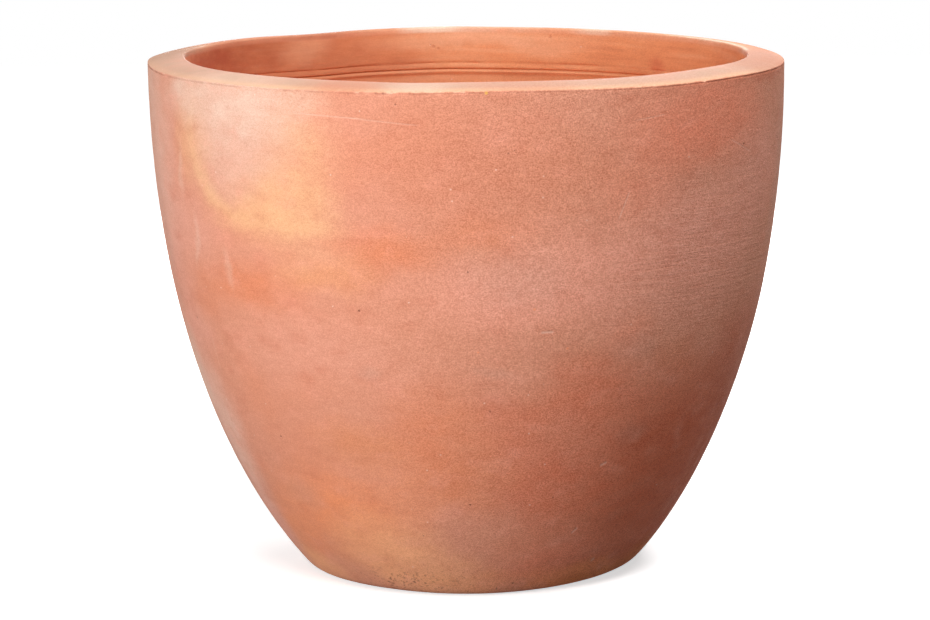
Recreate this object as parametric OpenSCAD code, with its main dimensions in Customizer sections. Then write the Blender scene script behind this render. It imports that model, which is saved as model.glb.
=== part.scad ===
// Hand-built terracotta flower pot: a floor slab, two wall courses and a thick rim collar,
// stacked on tongue-and-groove seams, with a clay coil pressed into the inside corner of the floor.
// Millimetres, +Z up, origin on the ground at the centre of the foot.

/* [Overall size] */
// Outside diameter at the outer edge of the rim
rim_d = 500; // [360:5:700]
// Overall height, ground to the crest of the rim
pot_h = 407; // [300:1:600]
// Diameter of the foot where the belly curve meets the ground, before its edge is rounded
foot_d = 260; // [220:5:330]

/* [Wall] */
// Thickness of the wall, square to its face
wall_t = 27; // [20:1:34]
// Height of the seam between the lower and the upper wall course
course_z = 195; // [130:1:250]
// Exponent on depth: higher keeps the wall upright for longer below the rim
belly_depth_power = 2.1; // [1.9:0.05:2.4]
// Exponent on radius: higher makes the belly fuller
belly_radius_power = 1.95; // [1.8:0.05:2.2]

/* [Rim collar] */
// Height of the collar, crest to seat
collar_h = 37; // [28:1:60]
// Thickness of the collar, outer face to inner band
collar_t = 29; // [24:1:36]
// Rise of the crest above the outer edge of the rim
crest_rise = 5; // [2:0.5:9]
// Rounding of the inner shoulder, crest to inner band
shoulder_r = 7.5; // [4:0.5:10]
// Width and depth of the bevel under the inner band, which leaves the open line at the seam
seam_bevel = 2.2; // [1:0.1:3.5]
// Height of the tooled line in the inner band above the seam
line_z = 5.6; // [4:0.1:8]
// Depth of the tooled line
line_depth = 0.8; // [0.4:0.1:1.2]
// How far the bead on top of the wall stands in past the wall's inner face
bead_out = 2.4; // [1:0.1:4]
// Height of that bead
bead_h = 4; // [2.5:0.5:6]

/* [Base] */
// Thickness of the floor slab
floor_t = 32; // [24:1:45]
// Diameter of the drain hole
drain_d = 30; // [15:1:45]
// Height at which the rounding of the foot edge starts
foot_edge_h = 6.5; // [3:0.5:12]
// Depth of the hollow in the underside, which keeps the drain hole off the ground
hollow_depth = 4; // [2:0.5:8]
// Width of the flat ring that the pot stands on
foot_ring_w = 34; // [20:1:50]
// Slope width of the hollow's edge
hollow_slope_w = 8; // [4:1:14]
// Height of the corner coil against the wall
coil_h = 24; // [14:1:36]
// Reach of the corner coil over the floor
coil_w = 22; // [12:1:34]

/* [Seams] */
// Width of the tongue at each seam
tongue_w = 9; // [6:0.5:12]
// Height of the tongue
tongue_h = 9; // [5:0.5:12]
// Clearance left for slip at the sides and top of a tongue, and behind the coil
slip_gap = 0.4; // [0.2:0.1:0.8]

/* [Hidden] */

$fn = 96;
wall_steps = 20;    // points along each face of a wall course
corner_steps = 6;   // points along a rounded edge
overcut = 1;        // how far a through cut runs past both faces
clay = "#cf7f5f";
pale_clay = "#dc9a78";
slab_clay = "#c06d4e";

rim_r = rim_d / 2;
foot_r = foot_d / 2;
edge_z = pot_h - crest_rise;          // outer edge of the rim
collar_z = pot_h - collar_h;          // seat of the collar
band_r = rim_r - collar_t;            // inner band of the collar
drop = edge_z / pow(1 - pow(foot_r / rim_r, belly_radius_power), 1 / belly_depth_power);

// Belly curve: a superellipse that is upright at the rim's edge and passes the foot's diameter at the ground.
function belly(radius, depth_at_tip, z) =
    radius * pow(1 - pow(max(edge_z - z, 0) / depth_at_tip, belly_depth_power), 1 / belly_radius_power);
function outer_r(z) = belly(rim_r, drop, z);
function inner_r(z) = belly(rim_r - wall_t, drop - wall_t, z);
function seam_r(z) = (outer_r(z) + inner_r(z)) / 2;

// Gain in the outer radius for each millimetre of height.
function outer_slope(z) =
    let (depth = (edge_z - z) / drop)
        rim_r / drop * belly_depth_power / belly_radius_power * pow(depth, belly_depth_power - 1)
            * pow(1 - pow(depth, belly_depth_power), 1 / belly_radius_power - 1);

function steps(from, to, n) = [for (i = [0:n]) from + (to - from) * i / n];
function outer_face(from, to) = [for (z = steps(from, to, wall_steps)) [outer_r(z), z]];
function inner_face(from, to) = [for (z = steps(from, to, wall_steps)) [inner_r(z), z]];

// Quadratic curve from a to c that leaves and arrives along its corner b. The list leaves out a itself.
function rounded(a, b, c) =
    [for (i = [1:corner_steps]) let (t = i / corner_steps)
        (1 - t) * (1 - t) * a + 2 * t * (1 - t) * b + t * t * c];

// Rounding of the foot's edge, tangent to the belly curve and to the ground.
foot_start = [outer_r(foot_edge_h), foot_edge_h];
foot_corner = [foot_start.x - outer_slope(foot_edge_h) * foot_edge_h, 0];
foot_end = [foot_corner.x - norm(foot_start - foot_corner), 0];
hollow_r = foot_end.x - foot_ring_w;

module turned(points) {
    rotate_extrude() polygon(points);
}

module ring(radius, width, from, to) {
    rotate_extrude() translate([radius - width / 2, from]) square([width, to - from]);
}

// Ring that stands up from a seam, rooted in the piece below it.
module tongue(z) {
    ring(seam_r(z), tongue_w, z - tongue_h / 2, z + tongue_h);
}

// Cut in the piece above a seam that takes the tongue with its clearance.
module groove(z) {
    ring(seam_r(z), tongue_w + 2 * slip_gap, z - overcut, z + tongue_h + slip_gap);
}

// Floor of the pot, with the rounded foot edge, the hollow underside and the drain hole.
module base_slab() {
    color(slab_clay)
    difference() {
        union() {
            turned(concat(
                [[0, hollow_depth], [hollow_r - hollow_slope_w, hollow_depth], [hollow_r, 0], foot_end],
                rounded(foot_end, foot_corner, foot_start),
                [for (z = steps(foot_edge_h, floor_t, corner_steps)) if (z > foot_edge_h) [outer_r(z), z]],
                [[0, floor_t]]
            ));
            tongue(floor_t);
        }
        translate([0, 0, -overcut]) cylinder(d = drain_d, h = floor_t + 2 * overcut);
    }
}

// First course of the wall, standing on the slab.
module lower_wall() {
    color(clay)
    difference() {
        union() {
            turned(concat(outer_face(floor_t, course_z), inner_face(course_z, floor_t)));
            tongue(course_z);
        }
        groove(floor_t);
    }
}

// Second course, up to the collar's seat, with the bead that shows inside under the collar.
module upper_wall() {
    color(clay)
    difference() {
        union() {
            turned(concat(
                outer_face(course_z, collar_z),
                [[inner_r(collar_z) - bead_out / 2, collar_z],
                 [inner_r(collar_z) - bead_out, collar_z - bead_h / 2]],
                inner_face(collar_z - bead_h, course_z)
            ));
            tongue(collar_z);
        }
        groove(course_z);
    }
}

// Thick crowned ring that finishes the mouth.
module rim_collar() {
    edge = [rim_r, edge_z];
    crest = [band_r + shoulder_r, pot_h];
    shoulder = [band_r, pot_h - shoulder_r];
    color(pale_clay)
    difference() {
        turned(concat(
            outer_face(collar_z, edge_z),
            rounded(edge, [(edge.x + crest.x) / 2, pot_h], crest),
            rounded(crest, [band_r, pot_h], shoulder),
            [[band_r, collar_z + line_z + line_depth],
             [band_r + line_depth, collar_z + line_z],
             [band_r, collar_z + line_z - line_depth],
             [band_r, collar_z + seam_bevel],
             [band_r + seam_bevel, collar_z]]
        ));
        groove(collar_z);
    }
}

// Coil of clay pressed into the corner between the floor and the wall.
module floor_coil() {
    top_z = floor_t + coil_h;
    heel = [inner_r(floor_t) - slip_gap, floor_t];
    toe = [heel.x - coil_w, floor_t];
    lip = [inner_r(top_z) - slip_gap, top_z];
    color(slab_clay)
    turned(concat(
        [for (z = steps(floor_t, top_z, corner_steps)) [inner_r(z) - slip_gap, z]],
        rounded(lip, (heel + (lip + toe) / 2) / 2, toe)
    ));
}

base_slab();
lower_wall();
upper_wall();
rim_collar();
floor_coil();
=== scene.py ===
import math

import bpy
from mathutils import Matrix, Vector


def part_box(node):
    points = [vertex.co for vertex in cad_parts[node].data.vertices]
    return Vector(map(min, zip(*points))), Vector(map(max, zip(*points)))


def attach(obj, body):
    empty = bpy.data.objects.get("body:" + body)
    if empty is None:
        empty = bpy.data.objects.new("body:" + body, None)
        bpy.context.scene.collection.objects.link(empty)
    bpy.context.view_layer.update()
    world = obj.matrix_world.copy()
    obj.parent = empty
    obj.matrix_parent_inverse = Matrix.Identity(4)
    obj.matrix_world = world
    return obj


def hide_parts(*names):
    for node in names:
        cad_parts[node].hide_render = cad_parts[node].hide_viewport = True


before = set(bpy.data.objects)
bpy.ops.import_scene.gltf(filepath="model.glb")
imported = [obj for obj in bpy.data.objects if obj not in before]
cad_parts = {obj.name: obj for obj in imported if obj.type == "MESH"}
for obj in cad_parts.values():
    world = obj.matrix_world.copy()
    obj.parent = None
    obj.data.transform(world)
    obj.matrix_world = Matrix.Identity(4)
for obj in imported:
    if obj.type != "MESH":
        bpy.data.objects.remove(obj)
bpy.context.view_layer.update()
print("frame loaded:", ", ".join(sorted(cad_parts)))


class Wire:  # one socket of a node tree, so that node maths reads as an expression
    def __init__(self, tree, socket=None):
        self.tree = tree
        self.socket = socket

    def make(self, kind, settings=None, sockets=None, out=0):
        node = self.tree.nodes.new(kind)
        for key, value in (settings or {}).items():
            setattr(node, key, value)
        for key, value in (sockets or {}).items():
            if isinstance(key, int):
                target = node.inputs[key]
            else:
                target = next(s for s in node.inputs if s.identifier == key)
            if isinstance(value, Wire):
                self.tree.links.new(value.socket, target)
            else:
                target.default_value = value
        return Wire(self.tree, node.outputs[out])

    def outlet(self, name):  # another output of the same node
        return Wire(self.tree, self.socket.node.outputs[name])

    def maths(self, operation, *values):
        return self.make("ShaderNodeMath", {"operation": operation}, dict(enumerate(values)))

    def __add__(self, other):
        return self.maths("ADD", self, other)

    def __radd__(self, other):
        return self.maths("ADD", other, self)

    def __sub__(self, other):
        return self.maths("SUBTRACT", self, other)

    def __rsub__(self, other):
        return self.maths("SUBTRACT", other, self)

    def __mul__(self, other):
        return self.maths("MULTIPLY", self, other)

    def __rmul__(self, other):
        return self.maths("MULTIPLY", other, self)

    def __truediv__(self, other):
        return self.maths("DIVIDE", self, other)

    def __rtruediv__(self, other):
        return self.maths("DIVIDE", other, self)

    def __pow__(self, other):
        return self.maths("POWER", self, other)

    def atMost(self, limit):
        return self.maths("MINIMUM", self, limit)

    def atLeast(self, limit):
        return self.maths("MAXIMUM", self, limit)

    def fade(self, rate):  # 1 at zero, falling away upwards
        return self.maths("EXPONENT", self * -rate)

    def hump(self, centre, halfWidth):  # 1 at the centre, falling away on both sides
        away = (self - centre) / halfWidth
        return (away * away).fade(1)

    def step(self, low, high):  # smooth rise from 0 at low to 1 at high
        return self.make("ShaderNodeMapRange", {"interpolation_type": "SMOOTHSTEP"},
                         {"Value": self, "From Min": low, "From Max": high})

    def vector(self, operation, *values, out=0):
        return self.make("ShaderNodeVectorMath", {"operation": operation}, dict(enumerate(values)), out)

    def combine(self, x, y, z=0.0):
        return self.make("ShaderNodeCombineXYZ", None, {0: x, 1: y, 2: z})

    def axes(self):  # the x, y and z of a vector
        split = self.make("ShaderNodeSeparateXYZ", None, {0: self})
        return [split.outlet(name) for name in "XYZ"]

    def noise(self, size, detail=2.0, roughness=0.5, out=0):  # features about one size apart
        return self.make("ShaderNodeTexNoise", None,
                         {"Vector": self, "Scale": 1 / size, "Detail": detail, "Roughness": roughness}, out)

    def mix(self, first, second, share):  # one colour to another
        return self.make("ShaderNodeMix", {"data_type": "RGBA"},
                         {"Factor_Float": share, "A_Color": first, "B_Color": second}, 2)

    def blend(self, other, share):  # this colour towards another
        return self.mix(self, other, share)


def polar(place):  # x, y, z, the radius, and degrees round from the front with the right positive
    x, y, z = place.axes()
    radius = (x * x + y * y) ** 0.5
    azimuth = place.maths("DEGREES", place.maths("ARCTAN2", x, y * -1))
    return x, y, z, radius, azimuth


def drawnOut(x, y, z, share):  # a place for patterns that run round the pot
    return x.combine(x * share, y * share, z)


def fromPot(azimuth, elevation):  # a direction, in degrees round from the front and up
    turn, rise = math.radians(azimuth), math.radians(elevation)
    return Vector((math.cos(rise) * math.sin(turn), -math.cos(rise) * math.cos(turn), math.sin(rise)))


def facing(middle, away, distance):  # the place of a camera or lamp that looks at the middle
    turn = (-away).to_track_quat("-Z", "Y").to_matrix().to_4x4()
    return Matrix.Translation(Vector(middle) + away * distance) @ turn


# Camera, placed as the photograph's
cameraView = {
    "aim": (-0.0033, 0.0, 0.2012),
    "elevation": 9.85,      # degrees above the horizon
    "distance": 2.7485,
    "lens": 133.27,         # mm
    "sensor": 36.0,         # mm wide
    "roll": -0.733,         # degrees about the view axis
}


def addCamera(view):
    data = bpy.data.cameras.new("photoCamera")
    data.sensor_width = view["sensor"]
    data.lens = view["lens"]
    camera = bpy.data.objects.new("photoCamera", data)
    bpy.context.scene.collection.objects.link(camera)
    upright = facing(view["aim"], fromPot(0, view["elevation"]), view["distance"])
    camera.matrix_world = upright @ Matrix.Rotation(math.radians(view["roll"]), 4, "Z")
    bpy.context.scene.camera = camera


addCamera(cameraView)
print("camera placed")

# Shape of the pot, metres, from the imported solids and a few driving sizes
potShape = {
    "rimRadius": round(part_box("rim_collar")[1].x, 3),
    "height": round(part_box("rim_collar")[1].z, 4),
    "collarSeat": round(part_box("rim_collar")[0].z, 4),
    "courseSeam": round(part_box("upper_wall")[0].z, 4),
    "floorTop": round(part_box("lower_wall")[0].z, 4),
    "crestRise": 0.005,
    "footRadius": 0.130,
    "wall": 0.027,
    "depthPower": 2.1,
    "radiusPower": 1.95,
    "tongueWidth": 0.009,
    "tongueHeight": 0.009,
    "slipGap": 0.0004,
}
edgeHeight = potShape["height"] - potShape["crestRise"]
footShare = (potShape["footRadius"] / potShape["rimRadius"]) ** potShape["radiusPower"]
bellyDrop = edgeHeight / (1 - footShare) ** (1 / potShape["depthPower"])


def bellyRadius(z, inset=0.0):  # a superellipse, upright at the rim's edge
    depth = max(edgeHeight - z, 0.0) / (bellyDrop - inset)
    inner = (1 - depth ** potShape["depthPower"]) ** (1 / potShape["radiusPower"])
    return (potShape["rimRadius"] - inset) * inner


def innerRadius(z):
    return bellyRadius(z, potShape["wall"])


def seamRadius(z):
    return (bellyRadius(z) + innerRadius(z)) / 2


def spaced(start, end, count):
    return [start + (end - start) * i / count for i in range(count + 1)]


def straight(a, b, count):  # points from a to b, leaving out a
    return [tuple(a[k] + (b[k] - a[k]) * i / count for k in (0, 1)) for i in range(1, count + 1)]


def bend(a, b, c, count):  # quadratic curve from a to c round the corner b, leaving out a
    points = []
    for i in range(1, count + 1):
        t = i / count
        points.append(tuple((1 - t) ** 2 * a[k] + 2 * t * (1 - t) * b[k] + t * t * c[k] for k in (0, 1)))
    return points


def bulge(value, centre, halfWidth):
    return math.exp(-((value - centre) / halfWidth) ** 2)


def tongue(z):  # outer side to inner side of the ring that keys the next section
    middle, half = seamRadius(z), potShape["tongueWidth"] / 2
    top = z + potShape["tongueHeight"]
    return [(middle + half, z), (middle + half, top), (middle - half, top), (middle - half, z)]


def groove(z):  # inner side to outer side of the cut that takes a tongue
    middle, half = seamRadius(z), potShape["tongueWidth"] / 2 + potShape["slipGap"]
    top = z + potShape["tongueHeight"] + potShape["slipGap"]
    return [(middle - half, z), (middle - half, top), (middle + half, top), (middle + half, z)]


baseSlab = {
    "drainRadius": 0.015, "drainEdge": 0.003, "hollow": 0.004, "ring": 0.034, "slope": 0.008,
    "edgeHeight": 0.0065,
    "steps": {"hollow": 14, "slope": 5, "ring": 8, "edge": 10, "side": 12, "floor": 26, "drainEdge": 4,
              "drain": 6},
}


def baseSlabSection():
    slab, steps, top = baseSlab, baseSlab["steps"], potShape["floorTop"]
    probe = 0.0001  # metres up the wall, to find its lean
    lean = (bellyRadius(slab["edgeHeight"] + probe) - bellyRadius(slab["edgeHeight"])) / probe
    start = (bellyRadius(slab["edgeHeight"]), slab["edgeHeight"])
    corner = (start[0] - lean * slab["edgeHeight"], 0.0)
    end = (corner[0] - math.dist(start, corner), 0.0)
    hollowEdge = (end[0] - slab["ring"], 0.0)
    hollowTop = (hollowEdge[0] - slab["slope"], slab["hollow"])
    drain, soft = slab["drainRadius"], slab["drainEdge"]
    points = [(drain + soft, slab["hollow"])]
    points += straight(points[-1], hollowTop, steps["hollow"])
    points += straight(hollowTop, hollowEdge, steps["slope"])
    points += straight(hollowEdge, end, steps["ring"])
    points += bend(end, corner, start, steps["edge"])
    points += [(bellyRadius(z), z) for z in spaced(start[1], top, steps["side"])[1:]]
    points += tongue(top)
    points += straight(points[-1], (drain + soft, top), steps["floor"])
    points += bend(points[-1], (drain, top), (drain, top - soft), steps["drainEdge"])
    points += straight(points[-1], (drain, slab["hollow"] + soft), steps["drain"])
    points += bend(points[-1], (drain, slab["hollow"]), points[0], steps["drainEdge"])[:-1]
    return points


lowerWall = {"outerSteps": 58, "innerSteps": 36}


def lowerWallSection():
    low, high = potShape["floorTop"], potShape["courseSeam"]
    points = [(bellyRadius(z), z) for z in spaced(low, high, lowerWall["outerSteps"])]
    points += tongue(high)
    points += [(innerRadius(z), z) for z in spaced(high, low, lowerWall["innerSteps"])]
    return points + groove(low)


upperWall = {
    "beadOut": 0.0016, "beadDrop": 0.002, "beadHeight": 0.0016, "beadReach": 0.008,
    "outerSteps": 60, "beadSteps": 10, "innerSteps": 26,
}


def upperWallSection():
    wall = upperWall
    low, high = potShape["courseSeam"], potShape["collarSeat"]
    bead = high - wall["beadDrop"]
    points = [(bellyRadius(z), z) for z in spaced(low, high, wall["outerSteps"])]
    points += tongue(high)
    heights = spaced(high, high - wall["beadReach"], wall["beadSteps"])
    heights += spaced(heights[-1], low, wall["innerSteps"])[1:]
    points += [(innerRadius(z) - wall["beadOut"] * bulge(z, bead, wall["beadHeight"]), z) for z in heights]
    return points + groove(low)


rimCollar = {
    "thickness": 0.029, "shoulder": 0.0022, "bevel": 0.0016, "lineHeight": 0.0055, "lineDepth": 0.0009,
    "edgeRound": 0.0007, "trimmed": 0.0045,
    "crestSlope": 1.9,      # the crest's slope at its outer edge, against its mean slope
    "steps": {"wall": 16, "trimmed": 11, "edge": 4, "crest": 20, "shoulder": 14, "band": 32, "bevel": 5},
}


def rimCollarSection():
    collar, steps = rimCollar, rimCollar["steps"]
    low, high = potShape["collarSeat"], potShape["height"]
    band = potShape["rimRadius"] - collar["thickness"]
    crest = (band + collar["shoulder"], high)
    edge, soft = (potShape["rimRadius"], edgeHeight), collar["edgeRound"]
    slope = potShape["crestRise"] / (edge[0] - crest[0]) * collar["crestSlope"]
    below = (bellyRadius(edgeHeight - soft), edgeHeight - soft)
    above = (edge[0] - soft, edgeHeight + soft * slope)
    trimmed = below[1] - collar["trimmed"]
    heights = spaced(low, trimmed, steps["wall"]) + spaced(trimmed, below[1], steps["trimmed"])[1:]
    points = [(bellyRadius(z), z) for z in heights]
    points += bend(below, edge, above, steps["edge"])
    points += bend(above, ((above[0] + crest[0]) / 2, high), crest, steps["crest"])
    points += bend(crest, (band, high), (band, high - collar["shoulder"]), steps["shoulder"])
    line = low + collar["lineHeight"]
    for z in spaced(high - collar["shoulder"], low + collar["bevel"], steps["band"])[1:]:
        points.append((band + collar["lineDepth"] * bulge(z, line, collar["lineDepth"]), z))
    bevelCorner = (band, low + collar["bevel"] / 2)
    points += bend(points[-1], bevelCorner, (band + collar["bevel"], low), steps["bevel"])
    return points + groove(low)


floorCoil = {"height": 0.024, "reach": 0.022, "backSteps": 12, "faceSteps": 16, "footSteps": 8}


def floorCoilSection():
    low = potShape["floorTop"]
    heights = spaced(low, low + floorCoil["height"], floorCoil["backSteps"])
    back = [(innerRadius(z) - potShape["slipGap"], z) for z in heights]
    heel, lip = back[0], back[-1]
    toe = (heel[0] - floorCoil["reach"], low)
    corner = tuple(heel[k] / 2 + (lip[k] + toe[k]) / 4 for k in (0, 1))
    face = bend(lip, corner, toe, floorCoil["faceSteps"])
    return back + face + straight(toe, heel, floorCoil["footSteps"])[:-1]


# Colours of the fired clay, and of the painted shade, highlights, reflection and bounce light laid on it, as
# sRGB bytes
clayColours = {
    "clay": (218, 146, 118),
    "red": (218, 119, 86),
    "brown": (190, 93, 60),
    "rust": (214, 137, 107),
    "rose": (238, 142, 111),
    "amber": (244, 150, 102),
    "orange": (222, 133, 94),
    "dust": (241, 164, 140),
    "bloom": (231, 165, 145),
    "yellow": (236, 177, 132),
    "cream": (231, 192, 171),
    "tan": (252, 178, 131),
    "grey": (200, 150, 130),
    "dark": (144, 76, 50),
    "sienna": (150, 64, 30),
    "ochre": (224, 132, 70),
    "crest": (203, 162, 138),
    "crestEdgeHighlight": (236, 184, 144),
    "copper": (236, 168, 130),
    "ember": (208, 132, 101),
    "ash": (178, 142, 117),
    # ivory: for the chips on the rim's edge, and for the painted highlights on the crest
    "ivory": (246, 220, 196),
    "inside": (237, 159, 111),
    "insideRed": (184, 98, 68),
    "insidePale": (242, 182, 143),
    "under": (206, 142, 112),
    "pit": (120, 62, 44),
    "speck": (250, 222, 204),
    "sulphur": (238, 188, 84),
}

# Marks on the wall, in the order that they are laid on: degrees round from the front, height in mm, half
# width in degrees, half height in mm, strength, and for a few the degrees turned. Most are flame marks and
# bloom left by the kiln; some are painted shade, painted reflection and painted bounce light, as noted at
# their colours.
wallMarks = {
    # red: the mark at 46 degrees is painted shade over the lower right side
    "red": [(46, 95, 52, 135, 0.95), (24, 172, 17, 46, 0.55), (15, 102, 14, 46, 0.65), (8, 150, 13, 40, 0.5),
            (34, 18, 30, 34, 0.6)],
    # brown: painted shade over the right side; the mark at 399 mm is a painted shadow under the rim's edge on
    # the right
    "brown": [(62, 105, 24, 105, 0.8), (66, 195, 16, 46, 0.5), (38, 125, 11, 28, 0.4), (60, 36, 20, 50, 0.4),
              (54, 150, 24, 70, 0.25), (50, 48, 22, 60, 0.2), (60, 399, 36, 9, 0.5), (46, 100, 18, 90, 0.3)],
    "rust": [(0, 350, 26, 76, 0.9), (18, 345, 15, 44, 0.5)],
    "rose": [(46, 370, 27, 50, 0.95), (26, 28, 24, 40, 0.6), (32, 326, 14, 36, 0.4), (31, 216, 9, 22, 0.45)],
    # amber: the marks at 42 and 34 degrees, on the right foot's bottom edge, are painted bounce light from
    # the floor
    "amber": [(-34, 70, 30, 60, 0.75), (-56, 44, 15, 42, 0.6), (42, 8, 22, 18, 0.8), (-12, 100, 16, 44, 0.35),
              (4, 12, 16, 20, 0.4), (34, 10, 26, 20, 0.8)],
    "orange": [(-15, 286, 17, 27, 0.8), (-44, 254, 18, 28, 0.75), (-60, 238, 13, 24, 0.4),
               (-7, 140, 15, 64, 0.75), (0, 105, 14, 40, 0.6), (2, 302, 11, 20, 0.5)],
    "dust": [(6, 252, 20, 42, 0.75), (24, 262, 24, 58, 0.7), (45, 285, 27, 64, 0.9), (64, 325, 18, 66, 0.7),
             (46, 235, 20, 38, 0.4), (5, 366, 7, 18, 0.2)],
    "bloom": [(-74, 300, 20, 140, 0.75), (-58, 290, 11, 44, 0.4), (-70, 120, 15, 95, 0.8),
              (-30, 205, 24, 38, 0.25), (-66, 206, 11, 34, 0.5), (-69, 44, 12, 60, 0.8)],
    # yellow: the mark at 50 degrees, on the right foot's bottom edge, is painted bounce light from the floor
    "yellow": [(50, 2, 28, 6, 0.5), (-36, 312, 17, 40, 0.85), (-30, 350, 11, 76, 0.55),
               (-27, 270, 13, 28, 0.35), (-56, 360, 9, 50, 0.6), (-38, 300, 20, 11, 0.7, -8)],
    "cream": [(-43, 388, 20, 66, 0.95), (-46, 340, 14, 40, 0.4), (-36, 350, 9, 44, 0.1),
              (-76, 165, 9, 66, 0.75), (-58, 390, 11, 30, 0.8), (-76, 345, 16, 110, 0.45),
              (-69, 120, 13, 86, 0.6), (-30, 394, 8, 18, 0.4), (-80, 392, 16, 40, 0.4),
              (-49, 266, 1.2, 22, 0.3), (-58, 280, 1.4, 30, 0.3), (-61, 334, 1.2, 34, 0.3)],
    "tan": [(-24, 38, 24, 46, 0.75), (-12, 18, 26, 32, 0.75), (-56, 12, 22, 26, 0.7)],
    # grey: the last three marks, along the right and left outlines, are a painted reflection of the white
    # surroundings
    "grey": [(8, 262, 15, 32, 0.35), (-44, 84, 9, 22, 0.3), (-19, 190, 4, 10, 0.3), (4, 193, 7, 6, 0.3),
             (33, 208, 9, 18, 0.35), (36, 133, 6, 14, 0.25), (80, 310, 10, 100, 0.5), (-79, 270, 9, 130, 0.4),
             (-78, 90, 9, 70, 0.6)],
    # dark: painted shade over the right outline and round the side beyond it
    "dark": [(95, 135, 36, 150, 0.6), (72, 105, 20, 130, 0.25)],
    # sienna: painted shade low on the right outline and round the side beyond it
    "sienna": [(78, 50, 22, 110, 0.5), (70, 18, 24, 70, 0.6), (92, 130, 36, 165, 0.65)],
    # ochre: the marks at 40 and 64 degrees, on the right foot's bottom edge, are painted bounce light from
    # the floor
    "ochre": [(40, 4, 34, 12, 0.5), (64, 14, 17, 26, 0.45), (-24, 132, 15, 28, 0.35),
              (-25, 264, 13, 18, 0.3)],
}
backMarks = {  # the same on the side that the photograph doesn't show
    "red": [(128, 92, 34, 80, 0.7), (-150, 98, 30, 60, 0.6)],
    "brown": [(104, 70, 20, 70, 0.5)],
    "rust": [(128, 366, 26, 60, 0.7)],
    "rose": [(-160, 360, 26, 46, 0.6)],
    "amber": [(140, 20, 30, 40, 0.6)],
    "orange": [(112, 300, 26, 70, 0.7), (-170, 172, 22, 66, 0.7), (-104, 205, 17, 70, 0.6)],
    "dust": [(104, 225, 20, 80, 0.6, 10), (-140, 262, 28, 66, 0.7, -8), (-98, 118, 16, 74, 0.6)],
    "yellow": [(150, 262, 26, 40, 0.6)],
    "cream": [(165, 318, 24, 54, 0.75), (-114, 340, 20, 48, 0.5)],
    "tan": [(-130, 40, 28, 40, 0.65), (172, 30, 30, 34, 0.6)],
    "grey": [(120, 190, 9, 18, 0.35)],
}
insideMarks = {
    # insideRed: the marks from -108 to -150 degrees, high on the inside's left, are painted shade under the
    # left rim
    "insideRed": [(-108, 390, 34, 60, 0.98), (-150, 384, 34, 60, 0.55), (-166, 375, 10, 9, 0.4),
                  (-130, 392, 22, 40, 0.3), (40, 250, 60, 120, 0.5), (-60, 120, 70, 90, 0.5),
                  (150, 130, 60, 110, 0.5), (104, 390, 14, 40, 0.25)],
    # insidePale: the mark at 366 mm, just below the bead, is painted light that lifts the bead's shadow
    "insidePale": [(178, 397, 30, 12, 0.8), (160, 392, 16, 14, 0.4), (-142, 396, 10, 16, 0.5),
                   (180, 366, 50, 12, 0.3)],
    "dust": [(30, 150, 40, 60, 0.4), (-160, 90, 40, 40, 0.4)],
    "orange": [(134, 382, 3, 12, 0.8)],
}
crestMarks = {  # with the radius in mm in place of the height
    "ember": [(-138, 226, 42, 60, 0.6), (-146, 226, 14, 60, 0.9), (-117, 230, 11, 40, 0.8),
              (144, 226, 12, 40, 0.15), (-22, 240, 11, 40, 0.6), (10, 238, 13, 40, 0.4),
              (-98, 240, 16, 30, 0.7), (110, 238, 26, 15, 0.45)],
    "dark": [(-145, 226, 11, 30, 0.15), (-94, 226, 2.2, 1.2, 0.7)],
    "ash": [(74, 240, 18, 40, 0.8), (-96, 238, 24, 40, 0.85)],
    "rust": [(80, 240, 27, 40, 0.7)],
    "grey": [(-98, 236, 17, 30, 0.3), (80, 240, 28, 40, 0.3)],
    # ivory: painted highlights on the crest and along its inner shoulder
    "ivory": [(-174, 226, 10, 22, 1.0), (-170, 226, 7, 22, 0.6), (168, 223, 9, 3, 0.4),
              (176, 226, 6, 14, 0.4), (151, 226, 6, 18, 0.7), (118, 223, 18, 2.4, 0.9),
              (104, 223, 14, 2.4, 0.9), (95, 223, 5, 3, 0.7), (-106, 223.4, 6, 2, 0.5),
              (-46, 240, 17, 30, 0.25), (-8, 240, 8, 30, 0.3)],
}
paleHalo = {  # an open ring of yellow, below and left of the pale bloom
    "middle": (-43, 366), "half": (13.5, 60), "width": 0.15, "strength": 0.9, "lowerLeft": (0.15, 0.9),
}
markCore = 0.15  # share of a mark's half size that has its full strength

colourNoise = {  # size in metres, detail, roughness
    "stray": (0.050, 5.0, 0.6),
    "patches": (0.012, 5.0, 0.65),
    "broad": (0.09, 3.0, 0.5),
    "dust": (0.020, 4.0, 0.6),
    "mottle": (0.014, 5.0, 0.6),
    "streaks": (0.006, 4.0, 0.6),
    "crownEdge": (0.004, 2.0, 0.5),
    "trimBreaks": (0.012, 2.0, 0.5),
}
colourZones = {  # where a zone starts and where it is full, metres
    "insideDepth": (0.010, 0.018), "insideTop": (edgeHeight - 0.0010, edgeHeight + 0.0024),
    "underDepth": (0.006, 0.014), "underTop": (0.0045, 0.008),
    "crown": (edgeHeight - 0.0003, edgeHeight + 0.0005), "crownWaver": 0.0012,
    "crestRim": (0.240, 0.2495), "crestFlat": (0.224, 0.238), "crestBack": (-0.02, 0.06),
    "edge": (edgeHeight - 0.0008, 0.0016),      # middle and half width
}
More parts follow.
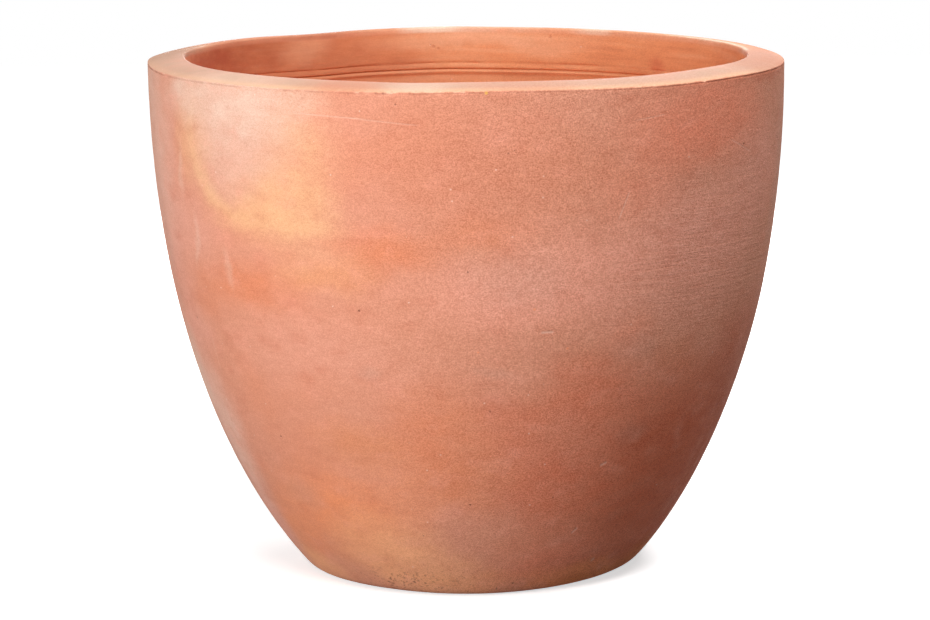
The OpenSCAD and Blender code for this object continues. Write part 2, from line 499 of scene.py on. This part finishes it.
# strengths of the colours, with the painted highlight on the crest's edge and the painted shade in the
# trimmed groove
colourWork = {
    "strayWall": (9, 34), "strayCrest": (6, 5),         # degrees and mm that a mark's outline strays
    "patchesDrawn": 0.45, "mottleDrawn": 0.6, "streaksDrawn": 0.06,
    "strength": (0.72, 0.4),                            # least, and more on the patches
    "orange": 0.3, "dust": 0.3, "mottleDust": 0.32, "mottleBrown": 0.22,
    "insideRed": 0.4, "streaksRed": 0.3, "streaksPale": 0.4,
    "crestDust": 0.25, "crestEdgeHighlight": 0.75, "crestBloom": 0.25, "crestCopper": 0.95,
    "plainEdge": (-75, 28), "plainEdgeShare": 0.5,      # where the crest's edge is less pale, degrees
    "chipsPale": 0.2, "trimPaintedShade": 0.85, "under": (0.6, 0.4),
}
colourSteps = {  # the value of a noise where its patches start, and where they are full
    "patches": (0.25, 0.75), "upper": (0.5, 0.75), "insideRed": (0.5, 0.8),
    "streaksRed": (0.48, 0.72), "streaksPale": (0.48, 0.70), "trimBreaks": (0.3, 0.6),
}


def tint(name):  # the linear colour of a name in the table
    linear = [((c / 255 + 0.055) / 1.055) ** 2.4 for c in clayColours[name]]
    return (*linear, 1.0)


def softMark(unrolled, middle, half, strength, turn):  # a soft oval, strongest in the middle
    local = unrolled.vector("SUBTRACT", unrolled, (*middle, 0))
    if turn:
        local = local.make("ShaderNodeVectorRotate", {"rotation_type": "Z_AXIS"},
                           {"Vector": local, "Angle": math.radians(-turn)})
    local = local.vector("DIVIDE", local, (*half, 1))
    far = local.vector("LENGTH", local, out="Value")
    return far.make("ShaderNodeMapRange", {"interpolation_type": "SMOOTHSTEP"},
                    {"Value": far, "From Min": 1.0, "From Max": markCore, "To Max": strength})


def markMask(unrolled, marks):  # one mask for all the marks of a colour
    whole = None
    for around, height, width, tall, strength, *turn in marks:
        for lap in (-360, 0, 360):
            if abs(around + lap) - width > 180:
                continue
            mask = softMark(unrolled, (around + lap, height), (width, tall), strength, sum(turn))
            whole = 1 - (1 - whole) * (1 - mask) if whole else mask
    return whole


def haloMask(unrolled):
    fromMiddle = unrolled.vector("SUBTRACT", unrolled, (*paleHalo["middle"], 0))
    local = unrolled.vector("DIVIDE", fromMiddle, (*paleHalo["half"], 1))
    x, y, _ = local.axes()
    ring = local.vector("LENGTH", local, out="Value").hump(1.0, paleHalo["width"])
    return ring * (x * -1 - y).step(*paleHalo["lowerLeft"]) * paleHalo["strength"]


def outsideColour(place, unrolled, broad, wide, strength):
    x, y, z = place.axes()
    upper = colourSteps["upper"]
    colour = place.mix(tint("clay"), tint("orange"), broad.step(*upper) * colourWork["orange"])
    colour = colour.blend(tint("dust"), wide.noise(*colourNoise["dust"]).step(*upper) * colourWork["dust"])
    for shade, marks in wallMarks.items():
        mask = markMask(unrolled, marks + backMarks.get(shade, []))
        if shade == "yellow":
            mask = mask.atLeast(haloMask(unrolled))
        colour = colour.blend(tint(shade), mask * strength)
    mottle = drawnOut(x, y, z, colourWork["mottleDrawn"]).noise(*colourNoise["mottle"], out="Color")
    pale, red, _ = mottle.axes()
    colour = colour.blend(tint("dust"), pale.step(*upper) * colourWork["mottleDust"])
    return colour.blend(tint("brown"), red.step(*upper) * colourWork["mottleBrown"])


def insideColour(place, unrolled, broad, strength):
    x, y, z = place.axes()
    streaks = drawnOut(x, y, z, colourWork["streaksDrawn"]).noise(*colourNoise["streaks"])
    reddish = broad.step(*colourSteps["insideRed"]) * colourWork["insideRed"]
    red = streaks.step(*colourSteps["streaksRed"]) * colourWork["streaksRed"]
    pale = (1 - streaks).step(*colourSteps["streaksPale"]) * colourWork["streaksPale"]
    colour = place.mix(tint("inside"), tint("insideRed"), reddish)
    colour = colour.blend(tint("insideRed"), red).blend(tint("insidePale"), pale)
    for shade, marks in insideMarks.items():
        colour = colour.blend(tint(shade), markMask(unrolled, marks) * strength)
    return colour


def crestColour(place, onCrest, patchy, strength):
    x, y, z, radius, azimuth = polar(place)
    # a painted highlight along the crest's outer edge, weaker on the left side (plainEdge)
    edgeHighlight = colourWork["crestEdgeHighlight"] - colourWork["plainEdgeShare"] * azimuth.hump(*colourWork["plainEdge"])
    colour = place.mix(tint("crest"), tint("dust"), patchy * colourWork["crestDust"])
    colour = colour.blend(tint("crestEdgeHighlight"), radius.step(*colourZones["crestRim"]) * edgeHighlight)
    colour = colour.blend(tint("bloom"), (1 - radius.step(*colourZones["crestFlat"])) * colourWork["crestBloom"])
    colour = colour.blend(tint("copper"), y.step(*colourZones["crestBack"]) * colourWork["crestCopper"])
    for shade, marks in crestMarks.items():
        colour = colour.blend(tint(shade), markMask(onCrest, marks) * strength)
    return colour


# the kiln's marks together with painted shade, highlights, reflection and bounce light
def kilnAndPaintedLightColour(place, chips, trim):  # slow changes of colour for each point, and where the point is
    x, y, z, radius, azimuth = polar(place)

    # where on the pot
    depth = (edgeHeight - z).atLeast(0.0) / bellyDrop
    belly = (1 - depth ** potShape["depthPower"]) ** (1 / potShape["radiusPower"]) * potShape["rimRadius"]
    intoWall = belly - radius
    waver = (place.noise(*colourNoise["crownEdge"]) - 0.5) * colourZones["crownWaver"]
    crown = (z + waver).step(*colourZones["crown"])
    inside = intoWall.step(*colourZones["insideDepth"]) * (1 - z.step(*colourZones["insideTop"]))
    under = intoWall.step(*colourZones["underDepth"]) * (1 - z.step(*colourZones["underTop"]))
    edge = z.hump(*colourZones["edge"]) * (1 - inside)

    # the wall and the crest rolled out flat, in degrees and mm, with ragged outlines for the marks
    strayX, strayY, _ = place.noise(*colourNoise["stray"], out="Color").axes()
    across, up = colourWork["strayWall"]
    unrolled = place.combine(azimuth + (strayX - 0.5) * across, z * 1000 + (strayY - 0.5) * up)
    across, up = colourWork["strayCrest"]
    onCrest = place.combine(azimuth + (strayX - 0.5) * across, radius * 1000 + (strayY - 0.5) * up)
    wide = drawnOut(x, y, z, colourWork["patchesDrawn"])
    patchy = wide.noise(*colourNoise["patches"]).step(*colourSteps["patches"])
    broad = place.noise(*colourNoise["broad"])
    least, more = colourWork["strength"]
    strength = patchy * more + least

    colour = outsideColour(place, unrolled, broad, wide, strength)
    colour = colour.blend(crestColour(place, onCrest, patchy, strength), crown)
    colour = colour.blend(insideColour(place, unrolled, broad, strength), inside)
    colour = colour.blend(tint("ivory"), chips * colourWork["chipsPale"])
    # painted shade darkens the trimmed groove under the rim's edge, broken in places
    breaks = place.noise(*colourNoise["trimBreaks"]).step(*colourSteps["trimBreaks"])
    colour = colour.blend(tint("dark"), trim * breaks * colourWork["trimPaintedShade"])
    least, more = colourWork["under"]
    colour = colour.blend(tint("under"), under * (patchy * more + least))
    return colour, place.combine(inside, crown, edge)


# How the potter's hands left the clay. Each size is an input of the tree below.
handWork = {
    "Segments": 900,
    "Sweep radius": potShape["rimRadius"],
    "Rim height": edgeHeight,
    "Rim lean": -0.0061,        # rise for each metre to the right
    "Lump depth": 0.0006,
    "Lump size": 0.14,
    "Ring depth": 0.0003,
    "Ring height": 0.012,
    "Chip depth": 0.0007,
    "Chip size": 0.007,
    "Foot wobble": 0.0009,
    "Wobble size": 0.03,
    "Right fullness": 0.0009,
    "Foot wear": 0.0024,
    "Line height": potShape["collarSeat"] + rimCollar["lineHeight"],
    "Line fill": 0.0006,
    "Seam height": potShape["collarSeat"],
    "Seam lift": 0.0011,
    "Trim depth": 0.0005,
    "Edge lift": 0.0010,
}
handPlaces = {  # middle and half width, in degrees round from the front or in metres
    "fullSide": (75, 32), "fullHeight": (0.205, 0.06),
    "trimLeft": (-78, 13), "trimRight": (58, 34),
    "roughSide": (-14, 12),
    "wornRight": (75, 45), "wornLeft": (-36, 22),
    "liftedSide": (4, 24),
}
handZones = {  # the radius where a change starts, and where it is full, metres
    "lineBand": (0.2225, 0.2240), "trimRadius": (0.240, 0.247), "wornRadius": (0.118, 0.128),
    "seamRadius": (0.224, 0.232), "liftedRadius": (0.230, 0.2495),
}
handReach = {
    "line": 0.0008, "trimDrop": 0.0011, "trim": 0.0006, "rim": 0.15, "edgeTall": 0.0020, "edgeWide": 0.0035,
    "seam": 0.010, "lifted": 0.014,                                 # metres, to here
    "footRate": 90, "wearRate": 150, "chipsRate": 7,
    "lineBreaks": (0.42, 0.58), "chipsFrom": 0.61, "chipsMore": 0.12,   # values of a noise
    "trimLeast": 0.35, "ringsDrawn": 0.05, "wearLeft": 0.35,        # shares
}
rimSwells = [  # degrees round from the front, half width in degrees, rise in metres
    (-88, 14, 0.0018), (-44, 13, 0.0001), (-11, 9, -0.0006), (28, 12, -0.0003), (54, 10, 0.0005),
    (88, 12, -0.0003), (130, 20, -0.0005), (-176, 8, 0.0006), (-145, 11, -0.0015), (2, 24, 0.0005),
]


def clayRingTree():
    tree = bpy.data.node_groups.new("clayRing", "GeometryNodeTree")
    tree.interface.new_socket("Section", in_out="INPUT", socket_type="NodeSocketGeometry")
    for name, value in handWork.items():
        kind = "NodeSocketInt" if isinstance(value, int) else "NodeSocketFloat"
        tree.interface.new_socket(name, in_out="INPUT", socket_type=kind)
    tree.interface.new_socket("Clay", in_out="INPUT", socket_type="NodeSocketMaterial")
    tree.interface.new_socket("Ring", in_out="OUTPUT", socket_type="NodeSocketGeometry")
    given = {s.name: Wire(tree, s) for s in tree.nodes.new("NodeGroupInput").outputs if s.name}
    start = Wire(tree)
    places, zones, reach = handPlaces, handZones, handReach

    # the section swept round the axis
    section = start.make("GeometryNodeMeshToCurve", None, {0: given["Section"]})
    circle = start.make("GeometryNodeCurvePrimitiveCircle", None,
                        {"Resolution": given["Segments"], "Radius": given["Sweep radius"]})
    ring = start.make("GeometryNodeCurveToMesh", None, {"Curve": circle, "Profile Curve": section})
    place = start.make("GeometryNodeInputPosition")
    x, y, z, radius, azimuth = polar(place)
    rimHeight = given["Rim height"]

    # outwards: slow lumps, wiping rings, an uneven foot, a fuller right side and a line that is partly filled
    lumps = place.noise(given["Lump size"]) - 0.5
    rings = drawnOut(x, y, z, reach["ringsDrawn"]).noise(given["Ring height"]) - 0.5
    wobble = (place.noise(given["Wobble size"], 3.0) - 0.5) * z.fade(reach["footRate"])
    full = azimuth.hump(*places["fullSide"]) * z.hump(*places["fullHeight"])
    line = z.hump(given["Line height"], reach["line"]) * (1 - radius.step(*zones["lineBand"]))
    filled = line * place.noise(given["Wobble size"]).step(*reach["lineBreaks"])
    outward = lumps * given["Lump depth"] + rings * given["Ring depth"] + wobble * given["Foot wobble"]
    outward = outward + full * given["Right fullness"] - filled * given["Line fill"]

    # a broken groove where the wall was trimmed under the rim's edge
    sides = azimuth.hump(*places["trimLeft"]).atLeast(azimuth.hump(*places["trimRight"]))
    trim = z.hump(rimHeight - reach["trimDrop"], reach["trim"]) * radius.step(*zones["trimRadius"])
    trim = trim * sides.atLeast(reach["trimLeast"])

    # chips along the rim's outer edge, closest together on its roughest side
    atEdge = z.hump(rimHeight, reach["edgeTall"]) * radius.hump(given["Sweep radius"], reach["edgeWide"])
    rough = azimuth.hump(*places["roughSide"]) * reach["chipsMore"] - reach["chipsFrom"]
    chips = (place.noise(given["Chip size"], 3.0) + rough).atLeast(0.0) * reach["chipsRate"]
    chips = chips.atMost(1.0) * atEdge
    outward = outward - trim * given["Trim depth"] - chips * given["Chip depth"]

    # upwards: the rim leans and waves, its edge and the seam inside are lifted, and the foot is worn
    rise = x * given["Rim lean"]
    for middle, halfWidth, height in rimSwells:
        apart = azimuth - middle + 540
        apart = apart.maths("FLOORED_MODULO", apart, 360) - 180
        rise = rise + apart.hump(0.0, halfWidth) * height
    nearRim = z.step(rimHeight - reach["rim"], rimHeight)
    wornSides = azimuth.hump(*places["wornRight"]) + azimuth.hump(*places["wornLeft"]) * reach["wearLeft"]
    worn = wornSides * z.fade(reach["wearRate"]) * radius.step(*zones["wornRadius"])
    seam = z.hump(given["Seam height"], reach["seam"]) * (1 - radius.step(*zones["seamRadius"]))
    lifted = azimuth.hump(*places["liftedSide"]) * radius.step(*zones["liftedRadius"])
    lifted = lifted * z.step(rimHeight - reach["lifted"], rimHeight)
    upward = rise * nearRim - chips * given["Chip depth"] + worn * given["Foot wear"]
    upward = upward + seam * given["Seam lift"] + lifted * given["Edge lift"]

    offset = start.combine(x / radius * outward, y / radius * outward, upward)
    colour, where = kilnAndPaintedLightColour(place, chips, trim)
    fired = start.make("GeometryNodeStoreNamedAttribute", {"data_type": "FLOAT_COLOR", "domain": "POINT"},
                       {"Geometry": ring, "Name": "kilnAndPaintedLightColour", "Value": colour})
    fired = start.make("GeometryNodeStoreNamedAttribute", {"data_type": "FLOAT_VECTOR", "domain": "POINT"},
                       {"Geometry": fired, "Name": "where", "Value": where})
    worked = start.make("GeometryNodeSetPosition", None, {"Geometry": fired, "Offset": offset})
    outside = start.make("GeometryNodeFlipFaces", None, {0: worked})
    smooth = start.make("GeometryNodeSetShadeSmooth", None, {"Geometry": outside})
    real = start.make("GeometryNodeRealizeInstances", None, {"Geometry": smooth})
    done = start.make("GeometryNodeSetMaterial", None, {"Geometry": real, "Material": given["Clay"]})
    tree.links.new(done.socket, tree.nodes.new("NodeGroupOutput").inputs[0])
    return tree


creaseAngle = 40  # degrees, past which an edge stays sharp


def clayRing(name, node, section, tree, clay):
    points = [(r - potShape["rimRadius"], -z, 0.0) for r, z in section]  # a sweep turns its section over
    loop = [(i, (i + 1) % len(points)) for i in range(len(points))]
    outline = bpy.data.meshes.new(name + "Section")
    outline.from_pydata(points, loop, [])
    piece = bpy.data.objects.new(name, outline)
    bpy.context.scene.collection.objects.link(piece)
    sweep = piece.modifiers.new("clayRing", "NODES")
    sweep.node_group = tree
    sockets = {s.name: s.identifier for s in tree.interface.items_tree if s.in_out == "INPUT"}
    for key, value in handWork.items():
        sweep[sockets[key]] = value
    sweep[sockets["Clay"]] = clay
    piece.update_tag()
    graph = bpy.context.evaluated_depsgraph_get()
    mesh = bpy.data.meshes.new_from_object(piece.evaluated_get(graph))
    piece.modifiers.remove(sweep)
    piece.data = mesh
    mesh.name = name
    mesh.set_sharp_from_angle(angle=math.radians(creaseAngle))
    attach(piece, "root")
    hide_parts(node)
    print(name, len(section), "points round,", len(mesh.polygons), "faces")


# Tool marks: degrees and mm at both ends, half width in mm, depth in mm
toolMarks = [
    (-31.5, 386.2, -17, 383.2, 0.5, 0.12), (-21, 384.2, -7, 378.6, 0.5, 0.10),
    (28.7, 327, 26.4, 303, 0.35, 0.20), (12.9, 223, 15.3, 223, 0.9, 0.25), (29.4, 111, 30.8, 113, 1.1, 0.3),
    (26.5, 54, 27.8, 58, 1.0, 0.25), (38.0, 24, 38.6, 25, 1.6, 0.5), (29, 377, 36, 380, 0.5, 0.10),
    (52, 355, 60, 341, 0.6, 0.10), (-60, 205, -60, 172, 0.5, 0.08), (140, 260, 149, 263, 0.7, 0.15),
    (-150, 210, -139, 206, 0.6, 0.15),
]
# Small flaws: colour, degrees round from the front, height in mm, radius in mm
flaws = [
    ("pit", -11.9, 394.2, 0.9), ("pit", 6.8, 358.1, 0.8), ("pit", 7.8, 360.1, 0.6), ("pit", 7.7, 6.8, 1.4),
    ("amber", 11.6, 241.1, 1.3), ("amber", 18.2, 209.4, 1.2), ("amber", 1.5, 209.3, 1.1),
    ("pit", 19.0, 88.0, 0.9), ("pit", -12.5, 57.0, 0.8), ("sulphur", 3.2, 402.2, 1.6),
    ("pit", 128.0, 250.0, 1.0), ("pit", -120.0, 180.0, 0.9), ("amber", -160.0, 300.0, 1.3),
]
insideFlaws = [
    ("insideRed", -172.9, 391.0, 2.0), ("insideRed", -173.9, 389.3, 1.6), ("insideRed", 161.0, 399.0, 1.9),
    ("speck", -172.2, 392.6, 1.0),
]
mmPerDegree = 4.2  # about the wall's length for each degree round


def toolMask(rolledOut, mark):  # a thin stroke between two points of the wall
    a, b = (mark[0] * mmPerDegree, mark[1]), (mark[2] * mmPerDegree, mark[3])
    local = rolledOut.make("ShaderNodeMapping", {"vector_type": "TEXTURE"},
                           {"Vector": rolledOut, "Location": ((a[0] + b[0]) / 2, (a[1] + b[1]) / 2, 0),
                            "Rotation": (0, 0, math.atan2(b[1] - a[1], b[0] - a[0])),
                            "Scale": (math.dist(a, b) / 2 + mark[4], mark[4], 1)})
    along, across, _ = local.axes()
    return across.hump(0.0, 1.0) * (1 - along.maths("ABSOLUTE", along).step(0.6, 1.0))


def flawMask(rolledOut, flaw):  # a small round spot of the wall
    away = rolledOut.vector("DISTANCE", rolledOut, (flaw[1] * mmPerDegree, flaw[2], 0), out="Value")
    return 1 - away.step(flaw[3] * 0.4, flaw[3])


def dots(place, spacing, radius, share):  # scattered round dots, in a share of the cells
    cell = place.make("ShaderNodeTexVoronoi", None, {"Vector": place, "Scale": 1 / spacing})
    chance = cell.outlet("Color").axes()[0]
    return (1 - cell.step(radius * 0.5 / spacing, radius / spacing)) * chance.step(1 - share, 1.02 - share)


# Sand, wiping strokes and brushing, the same for every clay
sandWork = {
    "grainSize": 0.0006, "grain": 0.66,
    "wipeNoise": (0.0010, 2.0, 0.6), "wipeDrawn": 0.28, "wipe": 0.40,
    "brushNoise": (0.0022, 3.0, 0.6), "brushDrawn": 0.05, "brushTilt": 0.03, "brush": 0.35,
    "brushDepth": 0.0005, "brushSide": (54, 26), "brushHeight": (0.265, 0.07),
    "coarseNoise": (0.0050, 2.0, 0.5), "coarse": 0.18, "coarseDepth": 0.0003, "coarseDull": 0.25,
    "channels": (0.62, 1.0, 1.2),               # how far the sand changes red, green and blue
    "bareLeft": (-0.65, 0.40), "bareRight": (0.2, 0.7),
    "bare": (0.4, 0.6, 0.1),                    # least, and what bareLeft and bareRight add
    "crownSmooth": 0.6, "insideSmooth": 0.65, "gloss": 0.3,
}
# Pits, specks, crumbs and grit
crumbWork = {
    "pits": (0.016, 0.0011),                    # spacing and radius in metres
    "specks": (0.011, 0.0009, 0.18),            # and the share of places that have one
    "crumbs": (0.004, 0.0014, 0.6), "crumbSide": (-13, 11),
    "gritNoise": (0.0032, 3.0, 0.7), "gritFrom": (0.54, 0.66),
    "gritSide": (-20, 15), "gritHeight": (0.010, 0.012),
    "speckPale": 0.45, "pitDark": 0.6, "crumbDark": 0.4, "gritDark": 0.7, "pitDepth": 0.0005,
    "strokePale": 1.6, "strokeMost": 0.3,       # for each mm of depth, and at most
    "flaw": 0.65, "dent": 0.25, "dentDepth": 0.0004,
}
clayFinish = {
    "wallClay": {"grainDepth": 0.00008, "wipeDepth": 0.0002, "pits": 0.10, "dull": 0.84},
    "rimClay": {"grainDepth": 0.00008, "wipeDepth": 0.0002, "pits": 0.14, "dull": 0.82},
    "floorClay": {"grainDepth": 0.00012, "wipeDepth": 0.0003, "pits": 0.30, "dull": 0.88},
}


def clayMaterial(name, finish):
    material = bpy.data.materials.new(name)
    material.use_nodes = True
    tree = material.node_tree
    start = Wire(tree)
    sand, crumb = sandWork, crumbWork
    place = start.make("ShaderNodeTexCoord", out="Object")
    x, y, z, radius, azimuth = polar(place)
    flat = start.combine(azimuth * mmPerDegree, z * 1000)
    inside, crown, edge = start.make("ShaderNodeAttribute", {"attribute_name": "where"}, out="Vector").axes()
    colour = start.make("ShaderNodeAttribute", {"attribute_name": "kilnAndPaintedLightColour"})

    # the sand lies barer on the right, and is smoothed on the crest and inside
    sideways = x / radius
    least, left, right = sand["bare"]
    sandy = sideways.step(*sand["bareLeft"]) * left + sideways.step(*sand["bareRight"]) * right + least
    sandy = sandy * (1 - sand["crownSmooth"] * crown) * (1 - sand["insideSmooth"] * inside)
    cell = start.make("ShaderNodeTexVoronoi", None, {"Vector": place, "Scale": 1 / sand["grainSize"]})
    chance = cell.outlet("Color").axes()[0]
    swept = drawnOut(x, y, z, sand["wipeDrawn"])
    wipe = swept.noise(*sand["wipeNoise"]) - 0.5
    coarse = swept.noise(*sand["coarseNoise"]) - 0.5
    brush = drawnOut(x, y, z + x * sand["brushTilt"], sand["brushDrawn"]).noise(*sand["brushNoise"]) - 0.5
    brush = brush * azimuth.hump(*sand["brushSide"]) * z.hump(*sand["brushHeight"])
    grey = sandy * ((chance - 0.5) * sand["grain"] + wipe * sand["wipe"])
    grey = grey + coarse * sand["coarse"] + brush * sand["brush"]
    light = start.combine(*(grey * channel + 1 for channel in sand["channels"]))
    colour = colour.make("ShaderNodeMix", {"data_type": "RGBA", "blend_type": "MULTIPLY"},
                         {"Factor_Float": 1.0, "A_Color": colour, "B_Color": light}, 2)

    # pits, specks, crumbs on the rim's edge and grit on the foot
    pits = dots(place, *crumb["pits"], finish["pits"])
    specks = dots(place, *crumb["specks"])
    crumbs = dots(place, *crumb["crumbs"]) * azimuth.hump(*crumb["crumbSide"]) * edge
    grit = place.noise(*crumb["gritNoise"]).step(*crumb["gritFrom"])
    grit = grit * azimuth.hump(*crumb["gritSide"]) * z.hump(*crumb["gritHeight"])
    darkened = pits * crumb["pitDark"] + crumbs * crumb["crumbDark"] + grit * crumb["gritDark"]
    colour = colour.blend(tint("speck"), specks * crumb["speckPale"]).blend(tint("pit"), darkened)

    # heights in metres for the fine relief, and the marks that tools and knocks left
    grain = chance * 0.5 - cell
    height = sandy * (grain * finish["grainDepth"] + wipe * finish["wipeDepth"])
    height = height + coarse * sand["coarseDepth"] + brush * sand["brushDepth"]
    height = height - (pits + grit) * crumb["pitDepth"]
    outside = 1 - inside
    for mark in toolMarks:
        stroke = toolMask(flat, mark) * outside
        height = height - stroke * (mark[5] / 1000)
        pale = min(mark[5] * crumb["strokePale"], crumb["strokeMost"])
        colour = colour.blend(tint("speck"), stroke * pale)
    for flaw in flaws:
        colour = colour.blend(tint(flaw[0]), flawMask(flat, flaw) * outside * crumb["flaw"])
    for flaw in insideFlaws:
        dent = flawMask(flat, flaw) * inside
        colour = colour.blend(tint(flaw[0]), dent * crumb["dent"])
        height = height - dent * crumb["dentDepth"]
    rough = coarse * sand["coarseDull"] + finish["dull"]

    shader = tree.nodes["Principled BSDF"]
    shader.inputs["Specular IOR Level"].default_value = sand["gloss"]
    bump = start.make("ShaderNodeBump", None, {"Height": height, "Distance": 1.0, "Strength": 1.0})
    tree.links.new(colour.socket, shader.inputs["Base Color"])
    tree.links.new(rough.socket, shader.inputs["Roughness"])
    tree.links.new(bump.socket, shader.inputs["Normal"])
    return material


clays = {name: clayMaterial(name, finish) for name, finish in clayFinish.items()}
print("clays mixed:", ", ".join(clays))

clayTree = clayRingTree()
clayRing("baseSlab", "base_slab", baseSlabSection(), clayTree, clays["floorClay"])
clayRing("lowerWall", "lower_wall", lowerWallSection(), clayTree, clays["wallClay"])
clayRing("upperWall", "upper_wall", upperWallSection(), clayTree, clays["wallClay"])
clayRing("rimCollar", "rim_collar", rimCollarSection(), clayTree, clays["rimClay"])
clayRing("floorCoil", "floor_coil", floorCoilSection(), clayTree, clays["floorClay"])
print("clay sections made")

# Soft studio light: azimuth from the front and elevation in degrees, size in metres, watts
softBoxes = {
    "leftBox": {"azimuth": -42, "elevation": 8.5, "size": 0.5, "power": 22.8},
    "frontBox": {"azimuth": -2, "elevation": 42, "size": 0.6, "power": 15.1},
    "fillBox": {"azimuth": -22, "elevation": 0, "size": 0.6, "power": 5.2},
    "rightBox": {"azimuth": 66, "elevation": 56, "size": 0.5, "power": 17.4},
    "crestBox": {"azimuth": 0, "elevation": 86, "size": 0.9, "power": 6.4},
    "rearBox": {"azimuth": 182, "elevation": 5, "size": 0.8, "power": 15},
    "backBox": {"azimuth": 165, "elevation": 34, "size": 1.0, "power": 16.7},
}
# White surroundings for the camera and for reflections, and a dimmer floor and sky that light the clay
studio = {
    "boxDistance": 2.0, "sky": 0.04, "floorBounce": 0.20, "floorPaint": 0.8, "floorGlow": 0.62,
    "whiteFrom": 0.5, "whiteTo": 1.4, "floorSize": 8.0,
}


def addSoftBox(name, box):
    data = bpy.data.lights.new(name, "AREA")
    data.shape = "DISK"
    data.size = box["size"]
    data.energy = box["power"]
    light = bpy.data.objects.new(name, data)
    bpy.context.scene.collection.objects.link(light)
    middle = (0.0, 0.0, potShape["height"] / 2)
    light.matrix_world = facing(middle, fromPot(box["azimuth"], box["elevation"]), studio["boxDistance"])
    light.visible_camera = False


def seenDirectly(start):
    path = start.make("ShaderNodeLightPath", out="Is Camera Ray")
    return (path + path.outlet("Is Glossy Ray") + path.outlet("Is Transmission Ray")).atMost(1.0)


def addWorld():
    world = bpy.data.worlds.new("studioWhite")
    world.use_nodes = True
    bpy.context.scene.world = world
    strength = seenDirectly(Wire(world.node_tree)) * (1 - studio["sky"]) + studio["sky"]
    background = world.node_tree.nodes["Background"]
    background.inputs["Color"].default_value = (1, 1, 1, 1)
    world.node_tree.links.new(strength.socket, background.inputs["Strength"])


def addFloor():
    half = studio["floorSize"] / 2
    corners = [(-half, -half, 0), (half, -half, 0), (half, half, 0), (-half, half, 0)]
    mesh = bpy.data.meshes.new("studioFloor")
    mesh.from_pydata(corners, [], [(0, 1, 2, 3)])
    floor = bpy.data.objects.new("studioFloor", mesh)
    bpy.context.scene.collection.objects.link(floor)
    paint = bpy.data.materials.new("floorWhite")
    paint.use_nodes = True
    tree = paint.node_tree
    tree.nodes.clear()
    start = Wire(tree)
    place = start.make("ShaderNodeTexCoord", out="Object")
    away = place.vector("LENGTH", place, out="Value").step(studio["whiteFrom"], studio["whiteTo"])
    glow = away * (1 - studio["floorGlow"]) + studio["floorGlow"]
    lit = start.make("ShaderNodeBsdfDiffuse", None, {"Color": (studio["floorPaint"],) * 3 + (1,)})
    dim = start.make("ShaderNodeBsdfDiffuse", None, {"Color": (studio["floorBounce"],) * 3 + (1,)})
    shine = start.make("ShaderNodeEmission", None, {"Strength": glow})
    white = start.make("ShaderNodeAddShader", None, {0: lit, 1: shine})
    both = start.make("ShaderNodeMixShader", None, {0: seenDirectly(start), 1: dim, 2: white})
    tree.links.new(both.socket, tree.nodes.new("ShaderNodeOutputMaterial").inputs["Surface"])
    mesh.materials.append(paint)


for boxName, softBox in softBoxes.items():
    addSoftBox(boxName, softBox)
addWorld()
addFloor()
bpy.context.scene.view_settings.view_transform = "Standard"
print("studio lit")
